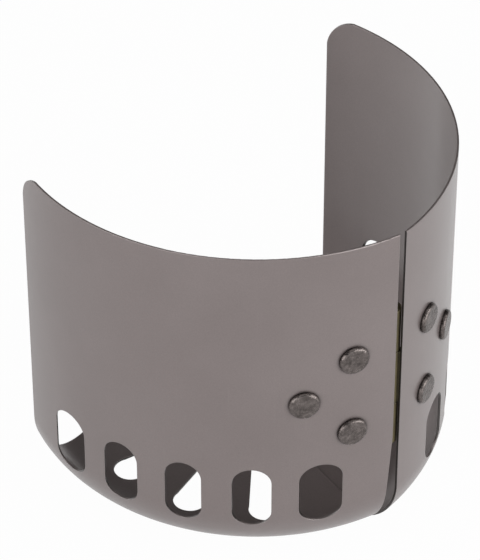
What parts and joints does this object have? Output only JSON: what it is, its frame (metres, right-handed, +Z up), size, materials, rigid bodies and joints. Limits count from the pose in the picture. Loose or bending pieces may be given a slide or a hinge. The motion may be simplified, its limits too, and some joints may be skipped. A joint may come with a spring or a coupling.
{
  "type": "stove windscreen",
  "caption": "Folding clip-on windscreen for a canister stove: curved sheet panels with a slotted wall and floor, joined by a riveted hinge.",
  "frame": {"origin": "middle of the footprint box at table height, midway between the front of the seam and the back of the floor claws", "axes": "+Z up; +X towards the right panel as seen from the hinge; +Y from the hinge towards the open mouth"},
  "size_m": [0.0934, 0.0777, 0.0844],
  "materials": {
    "anodised_sheet": "matte hard-anodised, warm grey",
    "hinge_steel": "yellow-passivated plating, satin",
    "rivet_steel": "dark gunmetal, polished and scuffed"
  },
  "bodies": {
    "left_half": {"left_panel": "anodised_sheet", "left_hinge_leaf": "hinge_steel", "hinge_pin": "hinge_steel", "left_upper_rivet": "rivet_steel", "left_lower_rivet": "rivet_steel", "left_outer_rivet": "rivet_steel"},
    "right_half": {"right_panel": "anodised_sheet", "right_hinge_leaf": "hinge_steel", "right_upper_rivet": "rivet_steel", "right_lower_rivet": "rivet_steel", "right_outer_rivet": "rivet_steel"}
  },
  "joints": [
    {"name": "panel_fold", "type": "hinge", "parent": "left_half", "child": "right_half", "pos_m": [0, -0.03599, 0.0456], "axis": [0, 0, 1], "range_deg": [-25, 0]}
  ]
}
